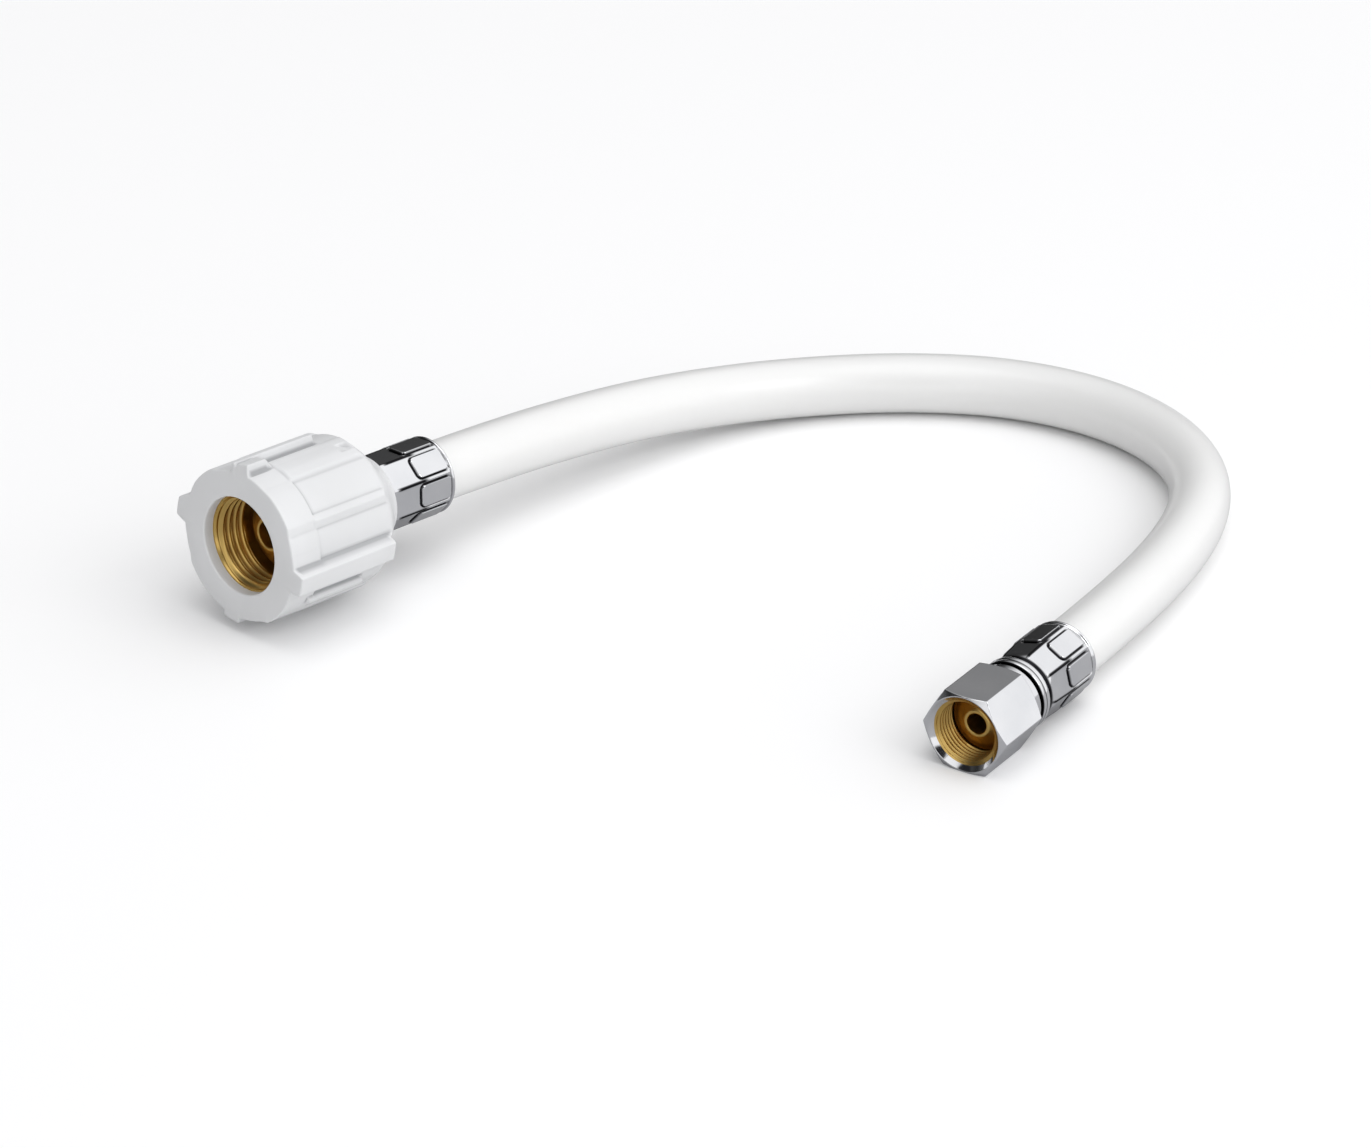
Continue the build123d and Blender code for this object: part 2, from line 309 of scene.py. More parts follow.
def map_range(nodes, links, value, low, high, start=0.0, end=1.0):
    """Stretches start to end over low to high."""
    node = nodes.new("ShaderNodeMapRange")
    node.inputs["From Min"].default_value = start
    node.inputs["From Max"].default_value = end
    node.inputs["To Min"].default_value = low
    node.inputs["To Max"].default_value = high
    links.new(value, node.inputs["Value"])
    return node.outputs["Result"]


def bump(nodes, links, height, distance, strength):
    node = nodes.new("ShaderNodeBump")
    node.inputs["Strength"].default_value = strength
    node.inputs["Distance"].default_value = distance
    links.new(height, node.inputs["Height"])
    return node.outputs["Normal"]


def radial_grain(nodes, links, coords, scale):
    """A height that is the same all the way round the fitting's axis: the rings that a lathe tool leaves."""
    split = nodes.new("ShaderNodeSeparateXYZ")
    links.new(coords, split.inputs["Vector"])
    squares = [math_node(nodes, links, "MULTIPLY", split.outputs[axis], split.outputs[axis]) for axis in "XY"]
    radius = math_node(nodes, links, "SQRT", math_node(nodes, links, "ADD", *squares))
    ring = nodes.new("ShaderNodeCombineXYZ")
    links.new(radius, ring.inputs["X"])
    links.new(split.outputs["Z"], ring.inputs["Z"])
    return noise(nodes, links, ring.outputs["Vector"], scale, detail=2.0)


def mix_color(nodes, links, factor, first, second):
    """Blends two colours, each a socket or a constant."""
    node = nodes.new("ShaderNodeMix")
    node.data_type = "RGBA"
    links.new(factor, node.inputs["Factor"])
    for socket, color in ((node.inputs["A"], first), (node.inputs["B"], second)):
        if isinstance(color, tuple):
            socket.default_value = color
        else:
            links.new(color, socket)
    return node.outputs["Result"]


def blend_painted_shade(nodes, links, color, dark):
    """The colour, turning dark where the mesh's stored painted shade is high."""
    painted_shade = nodes.new("ShaderNodeAttribute")
    painted_shade.attribute_name = "painted_shade"
    return mix_color(nodes, links, painted_shade.outputs["Fac"], color, dark)


# the roughness of the brass and the vinyl; ranges that reached below about 0.27 rendered in sharp-edged blotches
SOFT_GLOSS = (0.285, 0.335)
# near black for the painted shade and painted dark reflections on the chrome
CHROME_PAINTED_SHADE = (0.012, 0.012, 0.014, 1)
# grey for the painted shade in the shell's hollows
SHELL_PAINTED_SHADE = (0.3, 0.305, 0.315, 1)


def brass_material():
    material, nodes, links, shader = new_material("turned_brass")
    coords = object_coords(nodes)
    rings = radial_grain(nodes, links, coords, scale=1500.0)
    cloud = noise(nodes, links, coords, scale=60.0)
    links.new(
        color_ramp(nodes, links, cloud, [(0.3, (0.68, 0.45, 0.13)), (0.7, (0.74, 0.51, 0.17))]),
        shader.inputs["Base Color"],
    )
    links.new(map_range(nodes, links, cloud, *SOFT_GLOSS), shader.inputs["Roughness"])
    shader.inputs["Metallic"].default_value = 1.0
    links.new(bump(nodes, links, rings, distance=0.000003, strength=0.1), shader.inputs["Normal"])
    return material


def chrome_material():
    material, nodes, links, shader = new_material("polished_chrome")
    coords = object_coords(nodes)
    cloud = noise(nodes, links, coords, scale=90.0)
    fine = noise(nodes, links, coords, scale=1400.0, detail=2.0)
    plate = color_ramp(nodes, links, cloud, [(0.3, (0.78, 0.79, 0.81)), (0.7, (0.86, 0.865, 0.88))])
    # painted shade: the plating goes near black along the stored dark lines, in place of shade in its grooves and
    # dark reflections along its edges
    links.new(blend_painted_shade(nodes, links, plate, CHROME_PAINTED_SHADE), shader.inputs["Base Color"])
    links.new(map_range(nodes, links, cloud, low=0.06, high=0.13), shader.inputs["Roughness"])
    shader.inputs["Metallic"].default_value = 1.0
    links.new(bump(nodes, links, fine, distance=0.00001, strength=0.25), shader.inputs["Normal"])
    return material


def shell_material():
    material, nodes, links, shader = new_material("moulded_nut_plastic")
    coords = object_coords(nodes)
    cloud = noise(nodes, links, coords, scale=60.0)
    grain = noise(nodes, links, coords, scale=2400.0, detail=2.0, rough=0.6)
    pale = color_ramp(nodes, links, cloud, [(0.3, (0.63, 0.635, 0.64)), (0.7, (0.665, 0.67, 0.677))])
    # painted shade: the plastic goes darker in the hollows beside its steps
    links.new(blend_painted_shade(nodes, links, pale, SHELL_PAINTED_SHADE), shader.inputs["Base Color"])
    links.new(map_range(nodes, links, grain, low=0.36, high=0.5), shader.inputs["Roughness"])
    shader.inputs["Subsurface Weight"].default_value = 0.12
    shader.inputs["Subsurface Radius"].default_value = (0.002, 0.002, 0.002)
    shader.inputs["Subsurface Scale"].default_value = 0.6
    links.new(bump(nodes, links, grain, distance=0.00002, strength=0.35), shader.inputs["Normal"])
    return material


def vinyl_material():
    material, nodes, links, shader = new_material("milky_vinyl")
    coords = object_coords(nodes)
    cloud = noise(nodes, links, coords, scale=35.0)
    ripple = noise(nodes, links, coords, scale=140.0, detail=2.0)
    links.new(
        color_ramp(nodes, links, cloud, [(0.1, (0.77, 0.77, 0.76)), (0.9, (0.8, 0.8, 0.79))]),
        shader.inputs["Base Color"],
    )
    links.new(map_range(nodes, links, cloud, *SOFT_GLOSS), shader.inputs["Roughness"])
    shader.inputs["Subsurface Weight"].default_value = 0.35
    shader.inputs["Subsurface Radius"].default_value = (0.004, 0.004, 0.004)
    shader.inputs["Subsurface Scale"].default_value = 0.8
    shader.inputs["Coat Weight"].default_value = 0.35
    shader.inputs["Coat Roughness"].default_value = 0.12
    links.new(bump(nodes, links, ripple, distance=0.00012, strength=0.25), shader.inputs["Normal"])
    return material


def nylon_material():
    material, nodes, links, shader = new_material("washer_nylon")
    coords = object_coords(nodes)
    cloud = noise(nodes, links, coords, scale=300.0)
    links.new(
        color_ramp(nodes, links, cloud, [(0.3, (0.82, 0.8, 0.72)), (0.7, (0.88, 0.86, 0.79))]),
        shader.inputs["Base Color"],
    )
    links.new(map_range(nodes, links, cloud, low=0.4, high=0.55), shader.inputs["Roughness"])
    return material


def braid_material():
    material, nodes, links, shader = new_material("braided_yarn")
    coords = object_coords(nodes)
    wave = nodes.new("ShaderNodeTexWave")
    wave.inputs["Scale"].default_value = 260.0
    wave.inputs["Distortion"].default_value = 1.5
    links.new(coords, wave.inputs["Vector"])
    links.new(
        color_ramp(nodes, links, wave.outputs["Fac"], [(0.2, (0.7, 0.7, 0.68)), (0.8, (0.88, 0.88, 0.86))]),
        shader.inputs["Base Color"],
    )
    shader.inputs["Roughness"].default_value = 0.7
    links.new(bump(nodes, links, wave.outputs["Fac"], distance=0.0002, strength=0.6), shader.inputs["Normal"])
    return material


brass = brass_material()
chrome = chrome_material()
shell_plastic = shell_material()
vinyl = vinyl_material()
nylon = nylon_material()
yarn = braid_material()

# ------------------------------------------------------------------------------------------- the hose
FIRST_RUN = 36.5            # millimetres straight out of the faucet end
LAST_RUN = 32.0             # millimetres straight into the valve end
ON_FLOOR = HOSE_R * MM
# the corners of the hose's route, in metres: one U bend, most of it on the floor
ROUTE = [
    at_depth(FAUCET, FAUCET_HOSE_DEPTH),
    at_depth(FAUCET, FAUCET_HOSE_DEPTH + FIRST_RUN),
    Vector((-0.0543, 0.0745, 0.0134)),
    Vector((-0.0468, 0.1000, 0.0096)),
    Vector((-0.0338, 0.1220, 0.0072)),
    Vector((-0.0143, 0.1390, ON_FLOOR)),
    Vector((0.0087, 0.1500, ON_FLOOR)),
    Vector((0.0337, 0.1515, ON_FLOOR)),
    Vector((0.0562, 0.1425, ON_FLOOR)),
    Vector((0.0722, 0.1240, ON_FLOOR)),
    Vector((0.0807, 0.0955, ON_FLOOR)),
    at_depth(VALVE, VALVE_HOSE_DEPTH + LAST_RUN),
    at_depth(VALVE, VALVE_HOSE_DEPTH),
]


def carry(piece, node, body):
    """Says which body a piece rides on and which node it replaces."""
    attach(piece, body)
    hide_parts(node)


def centre_line():
    """The smooth line through the hose's middle, as points read from one NURBS spline."""
    curve = bpy.data.curves.new("hose_line", "CURVE")
    curve.dimensions = "3D"
    curve.resolution_u = 24
    spline = curve.splines.new("NURBS")
    spline.points.add(len(ROUTE) - 1)
    for point, corner in zip(spline.points, ROUTE):
        point.co = (*corner, 1)
    spline.order_u = 3
    spline.use_endpoint_u = True
    holder = collection_link(bpy.data.objects.new("hose_line", curve))
    line = bpy.data.meshes.new_from_object(holder)
    points = [v.co.copy() for v in line.vertices]
    bpy.data.objects.remove(holder)
    bpy.data.meshes.remove(line)
    bpy.data.curves.remove(curve)
    return points


def tube(name, points, outer, inner, material, columns=64):
    """A hollow tube round a line of points, closed by a ring at each end."""
    tangents = [(b - a).normalized() for a, b in zip(points, points[1:])]
    tangents = [tangents[0]] + [(a + b).normalized() for a, b in zip(tangents, tangents[1:])] + [tangents[-1]]
    side = tangents[0].cross(UP).normalized()
    verts = []
    angles = np.linspace(0, 2 * pi, columns, endpoint=False)
    for radius in (outer, inner):
        across = side.copy()
        for point, along in zip(points, tangents):
            across = (across - along * across.dot(along)).normalized()
            over = along.cross(across)
            for angle in angles:
                verts.append(point / MM + (across * cos(angle) + over * sin(angle)) * radius)
    count = len(points)
    walls = [(ring, ring + 1) for ring in range(count - 1)]
    walls += [(count + ring, count + ring + 1) for ring in range(count - 1)]
    ends = [(0, count), (count - 1, 2 * count - 1)]
    faces = []
    for ring, other in walls + ends:
        for j in range(columns):
            k = (j + 1) % columns
            faces.append((ring * columns + j, ring * columns + k, other * columns + k, other * columns + j))
    return finish_mesh(name, [tuple(v) for v in verts], faces, [material])


line_points = centre_line()
hose = tube("hose_vinyl_jacket", line_points, HOSE_R, JACKET_ID_R, vinyl)
sleeve = tube("hose_braid_sleeve", line_points, JACKET_ID_R - LAYER_GAP, LINER_OD_R + LAYER_GAP, yarn, 48)
liner = tube("hose_inner_liner", line_points, LINER_OD_R, HOSE_ID_R, vinyl, 48)
carry(hose, "hose_jacket", "hose")
carry(sleeve, "hose_braid", "hose")
carry(liner, "hose_liner", "hose")

# ------------------------------------------------------------------------------------------- hand nut's shell
SHELL_LENGTH = 37.8
COLLAR = 7.8
COLLAR_STEP = 0.45
POCKET_FLATS = 23.4         # the pocket that the brass insert sits in, across its flats
POCKET_GAP = 0.02           # keeps the pocket and the insert from sharing a surface
LUG_FOOT_R = 16.7
LUG_BEVEL = 0.35
# each lug: foot, crest, crest and foot in degrees, the crest's radius at the front and at the rear, its end's depth
LUGS = [
    (-1.0, 3.1, 15.2, 25.9, 19.8, 19.8, 28.2),
    (81.5, 83.2, 85.6, 86.4, 18.95, 19.0, 22.8),
    (179.7, 182.9, 195.7, 199.0, 19.8, 19.6, 28.2),
    (267.8, 270.6, 284.2, 286.0, 18.3, 19.05, 28.2),
]
# the wide front end of the top lug, as (degrees, radius), where it starts to fall away, and how steeply
TOP_BLOCK = [(82.9, 16.9), (88.7, 19.1), (97.4, 19.75), (98.7, 17.0)]
TOP_BLOCK_END = 5.3
TOP_BLOCK_FALL = 1.15
# the narrow bar below the right lug: from and to in depth, its middle and half width in degrees, its radius
LOW_BAR = (6.3, 22.2, 213.5, 2.2, 18.2)
# the shallow scoop at the rear of each side: from and to in degrees, its front end's depth and radius, its fall
SCOOP = (10.0, 18.5, 24.5, 17.45, 0.36)
# one quarter of the outline as (degrees, radius), for the collar and for the body, and the tail as (depth, radius)
COLLAR_OUTLINE = [(0, 17.1), (26, 17.15), (34, 17.4), (59.5, 17.5), (66.0, 16.9), (80, 16.85), (90, 17.1)]
BODY_OUTLINE = [
    (0, 17.3), (9, 17.35), (17, 17.55), (25.0, 17.5), (27.9, 16.78), (55.6, 16.88), (56.3, 17.2),
    (60.6, 17.62), (65.6, 16.98), (66.2, 16.78), (90, 16.74),
]
TAIL = [
    (0, 19.9), (28.0, 19.9), (28.05, 17.65), (28.8, 17.25), (29.5, 16.6), (31.0, 15.4), (32.2, 14.25), (33.3, 13.05),
    (34.8, 11.6), (36.2, 10.45), (37.2, 9.85), (37.8, 9.6),
]


def shell_radius(theta, d):
    """The shell's outer radius at an angle in degrees and a depth, before its edges are rounded."""
    sector = np.mod(theta, 90.0)
    collar = np.interp(sector, *zip(*COLLAR_OUTLINE))
    body = np.interp(sector, *zip(*BODY_OUTLINE))
    r = collar + (body - collar) * ramp(d, COLLAR, COLLAR + COLLAR_STEP)
    scoop_start, scoop_end, scoop_front, scoop_r, scoop_fall = SCOOP
    in_scoop = (sector > scoop_start) & (sector < scoop_end) & (d > scoop_front)
    r = np.where(in_scoop, np.minimum(r, scoop_r - scoop_fall * (d - scoop_front)), r)
    r = np.minimum(r, np.interp(d, *zip(*TAIL)))
    for foot, crest, crest_end, foot_end, front_r, rear_r, end in LUGS:
        # counted from the foot, with the last few degrees before it kept negative
        a = np.mod(theta - foot + 5.0, 360.0) - 5.0
        crest_r = front_r + (rear_r - front_r) * np.clip(d / end, 0, 1)
        corners = [0, crest - foot, crest_end - foot, foot_end - foot]
        shape = np.interp(a, corners, [0, 1, 1, 0], left=-1, right=-1)
        lug = np.where(shape >= 0, LUG_FOOT_R + (crest_r - LUG_FOOT_R) * shape, 0)
        lug = lug - np.clip(d - end + LUG_BEVEL, 0, LUG_BEVEL) * 2.0
        r = np.where((d <= end) & (lug > r), lug, r)
    bar_start, bar_end, bar_middle, bar_half, bar_r = LOW_BAR
    on_bar = (d > bar_start) & (d < bar_end) & (np.abs(np.mod(theta, 360.0) - bar_middle) < bar_half)
    r = np.where(on_bar, np.maximum(r, bar_r), r)
    block = np.interp(theta, *zip(*TOP_BLOCK), left=0, right=0)
    return np.maximum(r, block - np.clip(d - TOP_BLOCK_END, 0, 10) * TOP_BLOCK_FALL)


def soften(function, theta, d, angle=0.45, reach=0.16):
    """The mean of a radius function over a small patch, which rounds its edges."""
    total = 0
    steps = (-1, -0.5, 0, 0.5, 1)
    for i in steps:
        for j in steps:
            total = total + function(theta + i * angle, np.clip(d + j * reach, 0, None))
    return total / len(steps) ** 2


def hexagon(theta, across_flats):
    """The radius of a hexagon whose corners are at 0, 60, 120... degrees."""
    return across_flats / 2 / np.cos(np.radians(np.mod(theta, 60.0) - 30.0))


def shell_painted_shade(theta, d, r):
    """Painted shade, darkest in the hollow beside a step; the scoops are wide, so they get less painted shade."""
    hollow = soften(shell_radius, theta, d, 2.0, 0.7) - soften(shell_radius, theta, d)
    scoop = (np.abs(np.mod(theta, 90.0) - 14.0) < 6.0) & (d > 23.5)
    return np.minimum(hollow / 0.36, 0.8) * (r > 15.0) * (d > 0.5) * np.where(scoop, 0.25, 1.0)


def build_shell():
    edges = [60.0 * k for k in range(6)]
    edges += [90 * k + a for k in range(4) for a in (10.0, 18.5, 25.0, 27.9, 55.9, 60.6, 65.9)]
    edges += [np.mod(angle, 360) for lug in LUGS for angle in lug[:4]]
    edges += [angle for angle, _ in TOP_BLOCK]
    edges += [LOW_BAR[2] - LOW_BAR[3], LOW_BAR[2] + LOW_BAR[3]]
    theta = lines(0, 360, coarse=2.0, edges=sorted(edges), fine=0.4, reach=0.8)[:-1]
    columns = len(theta)
    front, rear = 0.4, SHELL_LENGTH - 0.3
    steps = (6.3, COLLAR, COLLAR + COLLAR_STEP, 22.4, 24.5, 28.1)
    depth = lines(front, rear, coarse=0.8, edges=steps, fine=0.16, reach=0.48)
    depth = np.unique(np.round(np.concatenate([depth, np.arange(5.2, 7.3, 0.25)]), 3))
    t, d = np.meshgrid(theta, depth)
    ones = np.ones((1, columns))
    rim = soften(shell_radius, t[:1], ones * front)
    tail = soften(shell_radius, t[:1], ones * rear)
    pocket = hexagon(t[:1], POCKET_FLATS) + POCKET_GAP
    rings = [(rim - cut, ones * z) for cut, z in ((0.38, 0.0), (0.22, 0.04), (0.09, 0.13), (0.02, 0.25))]
    rings.append((soften(shell_radius, t, d), d))
    rings += [(tail - cut, ones * z) for cut, z in ((0.06, 37.66), (0.16, 37.76), (0.3, 37.8))]
    rings += plain_rings(columns, [(9.3, 37.6), (9.3, 34.0), (9.3, 30.0), (6.8, 30.0), (6.8, 22.02)])
    rings += [(pocket, ones * 22.02), (pocket, ones * 2.58)]
    rings += plain_rings(columns, [(10.96, 2.58), (10.96, 1.5), (10.96, 0.42), (11.0, 0.24)])
    rings += plain_rings(columns, [(11.1, 0.1), (11.25, 0.02), (11.45, 0.0), (14.0, 0.0)])
    rings.append(rings[0])
    verts, faces = grid(*stack_rings(rings), np.radians(theta))
    shell = finish_mesh("faucet_nut_shell_moulding", verts, faces.tolist(), [shell_plastic], place=FAUCET, sharp=40)
    # stores the painted shade of the shell's hollows
    return darken(shell, shell_painted_shade)


# ------------------------------------------------------------------------------------------- brass insert
INSERT_FLATS = 23.36
INSERT_FRONT = 2.6
PIPE_END = 11.0             # where the thread ends, behind its relief
PIPE_PITCH = 25.4 / 14
PIPE_PROFILE = [  # one turn of the pipe thread: offset in pitches and radius
    (0.0, 9.5), (0.09, 9.47), (0.14, 9.53), (0.2, 9.66), (0.36, 10.27), (0.42, 10.41), (0.47, 10.45), (0.53, 10.45),
    (0.58, 10.41), (0.64, 10.27), (0.8, 9.66), (0.86, 9.53), (0.91, 9.47),
]


def pipe_limits(z):
    """The mouth's bevel, the relief behind the thread, and the crests."""
    mouth = cone(z, (INSERT_FRONT, 10.6), (4.1, 9.5))
    relief = cone(z, (10.4, 9.5), (PIPE_END, 10.45))
    return np.maximum(np.maximum(mouth, relief), 9.48)


def build_insert():
    columns = 120
    angles = np.linspace(0, 2 * pi, columns, endpoint=False)
    ones = np.ones((1, columns))
    wall = hexagon(np.degrees(angles)[None, :], INSERT_FLATS)
    rings = plain_rings(columns, [(10.6, INSERT_FRONT), (10.9, INSERT_FRONT)])
    rings += [(wall - 0.3, ones * 2.62), (wall, ones * 2.9), (wall, ones * 21.7), (wall - 0.3, ones * 21.98)]
    rings += plain_rings(columns, [(6.7, 21.98), (6.4, 21.7), (6.4, 17.8), (6.7, 17.5)])
    rings += plain_rings(columns, [(10.2, 17.5), (10.45, 17.25), (10.45, PIPE_END)])
    verts, faces = grid(*stack_rings(rings), angles)
    helix_verts, helix_faces = thread_grid(
        INSERT_FRONT, PIPE_END, PIPE_PITCH, PIPE_PROFILE, pipe_limits, columns
    )
    all_verts, all_faces, _ = join([(verts, faces, 0), (helix_verts, helix_faces, 0)])
    return finish_mesh("faucet_nut_brass_insert", all_verts, all_faces, [brass], place=FAUCET, sharp=50)


# ------------------------------------------------------------------------------------------- stems
BARB_FOOT_R = 4.75
BARB_R = 5.05


def barbs(fronts, length):
    """The outline of a row of barbs, each rising sharply at its front and falling away over this length."""
    outline = []
    for front in fronts:
        outline += [(BARB_FOOT_R, front - 0.1, 0), (BARB_R, front, 0), (BARB_FOOT_R, front + length, 0)]
    return outline


def build_faucet_stem():
    nose = [
        (2.9, 8.9, 0), (3.0, 8.55, 0.25), (3.6, 8.5, 0.35), (4.3, 8.95, 0.5), (5.9, 9.95, 0.8), (6.4, 10.5, 0.6),
        (7.4, 11.0, 0.8), (9.0, 12.4, 0.3), (9.0, 15.4, 0.15),
    ]
    shank = [(6.1, 15.4, 0.2), (6.1, 34.0, 0.1), (5.2, 34.0, 0), (5.2, 36.0, 0), (BARB_FOOT_R, 36.0, 0)]
    end = [(BARB_FOOT_R, 54.0, 0.3), (2.9, 54.0, 0.2), (2.9, 30.0, 0)]
    verts, faces = lathe(nose + shank + barbs((39.0, 43.5, 48.0), 3.0) + end)
    return finish_mesh("faucet_stem_turned", verts, faces.tolist(), [brass], place=FAUCET, sharp=30)


def build_valve_stem():
    nose = [
        (2.25, 5.9, 0), (2.3, 5.5, 0.2), (2.9, 5.4, 0.35), (3.6, 5.85, 0.6), (5.0, 6.6, 1.0), (7.1, 8.2, 0.3),
        (7.1, 9.6, 0.15),
    ]
    shank = [(4.4, 9.6, 0.2), (4.4, 22.8, 0), (BARB_FOOT_R, 23.5, 0)]
    end = [(BARB_FOOT_R, 38.5, 0.3), (2.25, 38.5, 0.2), (2.25, 20.0, 0)]
    verts, faces = lathe(nose + shank + barbs((26.0, 29.8, 33.6), 2.6) + end)
    return finish_mesh("valve_stem_turned", verts, faces.tolist(), [brass], place=VALVE, sharp=30)


# ------------------------------------------------------------------------------------------- ferrules
FACET_ANGLE = 360.0 / 8
# the pads of each ferrule: the first one's angle, their width, from and to in depth, corner radius, ferrule's radius
FAUCET_PADS = (132.8, 4.95, (46.5, 55.35), 0.95, 8.2)
VALVE_PADS = (120.8, 4.6, (30.5, 39.3), 0.9, 7.8)
FAUCET_PAD_RISE = 0.42
VALVE_PAD_RISE = 0.4


def from_facet(theta, first):
    """The angle from the middle of the nearest facet, in degrees."""
    return np.mod(theta - first + FACET_ANGLE / 2, FACET_ANGLE) - FACET_ANGLE / 2


def pad_outside(theta, d, first, width, span, corner, base):
    """The distance in millimetres to the outline of the nearest crimped pad, less than 0 on the pad."""
    across = np.abs(np.radians(from_facet(theta, first)) * base) - (width / 2 - corner)
    along = np.abs(d - (span[0] + span[1]) / 2) - ((span[1] - span[0]) / 2 - corner)
    return np.hypot(np.maximum(across, 0), np.maximum(along, 0)) + np.minimum(np.maximum(across, along), 0) - corner


def pad_height(theta, d, pads, height):
    """How far the crimped pads stand proud, with a groove pressed in round each."""
    outside = pad_outside(theta, d, *pads)
    return ramp(-outside, -0.1, 0.25) * height - near(outside, 0.18, 0.22) * 0.16


def ferrule_painted_shade(theta, d, pads):
    """Painted shade: the dark lines round the pads and along the facets' edges, standing in for shade and dark
    reflections.
    """
    first, (start, end) = pads[0], pads[2]
    outside = pad_outside(theta, d, *pads)
    outline = flat_top(outside, 0.1, 0.3) * (1 - 0.6 * ramp(d, end - 1.2, end - 0.2))
    from_edge = FACET_ANGLE / 2 - np.abs(from_facet(theta, first))
    edge = flat_top(from_edge, 0, 3.0) * (1 - ramp(d, start + 1.0, start + 3.0)) * ramp(d, start - 7.2, start - 6.2)
    return np.maximum(outline, edge)


def facets(theta, first, blend):
    """What an octagon's radius is over its apothem, eased towards a circle where blend is less than 1."""
    flat = 1 / np.cos(np.radians(from_facet(theta, first)))
    return flat * blend + 1.02 * (1 - blend)


def build_ferrule(name, place, depth, outline, inner, faceted, pads, pad_rise, pads_fade, painted_shade_rings):
    """A crimped ferrule: a turned outline pressed into facets, with a raised pad on each facet.

    faceted is the depths where the facets start and are full, and where they start to fade and are gone;
    pads_fade is where the pads start to fade and are gone; the last argument gives the painted shade of rings by
    depth.
    """
    theta = np.linspace(0, 360, 360, endpoint=False)
    t, d = np.meshgrid(theta, depth)
    turned = rounded(outline)
    base = np.interp(d, turned[:, 1], turned[:, 0])
    blend = ramp(d, *faceted[:2]) * (1 - ramp(d, *faceted[2:]))
    body = base * facets(t, pads[0], blend) + pad_height(t, d, pads, pad_rise) * (1 - ramp(d, *pads_fade))
    rings = [(body, d)] + plain_rings(len(theta), inner) + [(body[:1], d[:1])]
    verts, faces = grid(*stack_rings(rings), np.radians(theta))
    ferrule = finish_mesh(name, verts, faces.tolist(), [chrome], place=place, sharp=35)
    # stores painted shade: the pads' outlines, the facets' edges and the rings
    return darken(ferrule, lambda theta, d, r: np.maximum(ferrule_painted_shade(theta, d, pads), painted_shade_rings(d)))


def build_faucet_ferrule():
    # painted shade and a painted dark reflection at the front, where the ferrule goes under the hand nut's tail, and
    # a painted dark line at the foot of the rear bead
    def painted_shade_rings(d):
        return np.maximum(1 - ramp(d, 37.7, 38.5), near(d, 55.55, 0.12) * 0.8)

    return build_ferrule(
        "faucet_ferrule_crimped",
        FAUCET,
        depth=np.concatenate(
            [np.arange(34.0, 46.2, 0.6), np.arange(46.2, 55.7, 0.16), np.arange(55.7, 56.5, 0.12)]
        ),
        outline=[
            (7.7, 34.0, 0), (8.15, 34.9, 0.5), (8.15, 46.0, 0), (8.15, 55.4, 0.2), (8.3, 55.62, 0.15),
            (8.55, 55.75, 0.2), (8.62, 56.05, 0.2), (8.45, 56.35, 0.15), (8.2, 56.43, 0),
        ],
        inner=[(8.2, 56.43), (7.0, 56.43), (6.86, 56.2), (6.86, 36.0), (5.2, 36.0), (5.2, 34.0)],
        faceted=(35.0, 36.5, 55.2, 55.7),
        pads=FAUCET_PADS,
        pad_rise=FAUCET_PAD_RISE,
        pads_fade=(55.2, 55.6),
        painted_shade_rings=painted_shade_rings,
    )


def build_valve_ferrule():
    # painted shade: dark rings at both sides of the front bead and in its groove, and a dark line in the dip before
    # the rear bead
    def painted_shade_rings(d):
        beside_bead = np.maximum(flat_top(d, 19.2, 0.4), flat_top(d, 22.9, 1.0))
        groove = flat_top(d, 20.62, 0.2) * 0.8
        return np.maximum(np.maximum(beside_bead, groove), near(d, 39.95, 0.12) * 0.8)

    return build_ferrule(
        "valve_ferrule_crimped",
        VALVE,
        depth=np.concatenate(
            [
                np.arange(19.3, 23.6, 0.12),
                np.arange(23.6, 30.2, 0.4),
                np.arange(30.2, 39.7, 0.16),
                np.arange(39.7, 41.06, 0.1),
            ]
        ),
        outline=[
            (7.4, 19.3, 0), (7.9, 19.4, 0.3), (8.0, 20.0, 0.3), (7.85, 20.6, 0.2), (7.95, 21.0, 0.2),
            (8.0, 21.5, 0.3), (7.85, 22.0, 0.3), (7.2, 22.2, 0.15), (7.1, 22.9, 0.15), (7.35, 23.1, 0.2),
            (7.75, 30.0, 0.8), (7.75, 39.6, 0.3), (7.6, 39.95, 0.15), (7.75, 40.3, 0.15), (7.98, 40.45, 0.12),
            (7.98, 40.9, 0.12), (7.75, 41.05, 0),
        ],
        inner=[
            (7.75, 41.05), (7.0, 41.05), (6.86, 40.8), (6.86, 23.5), (4.75, 23.5), (4.4, 22.8), (4.4, 19.3),
        ],
        faceted=(23.4, 25.0, 39.3, 39.8),
        pads=VALVE_PADS,
        pad_rise=VALVE_PAD_RISE,
        pads_fade=(39.2, 39.6),
        painted_shade_rings=painted_shade_rings,
    )


# ------------------------------------------------------------------------------------------- hex nut
HEX_FLATS = 17.46
HEX_LENGTH = 16.0
HEX_FRONT_R = 8.6           # the flat ring round the mouth
HEX_REAR_R = 8.2            # the flat ring at the rear
BEVEL_SLOPE = tan(radians(30))
THREAD_START, THREAD_END = 0.95, 7.5
COMP_PITCH = 25.4 / 24
COMP_PROFILE = [  # one turn of the compression thread: offset in pitches and radius
    (0.0, 6.6), (0.1, 6.6), (0.16, 6.64), (0.22, 6.74), (0.36, 7.03), (0.42, 7.11), (0.48, 7.14), (0.54, 7.14),
    (0.6, 7.11), (0.66, 7.03), (0.8, 6.74), (0.86, 6.64), (0.92, 6.6),
]


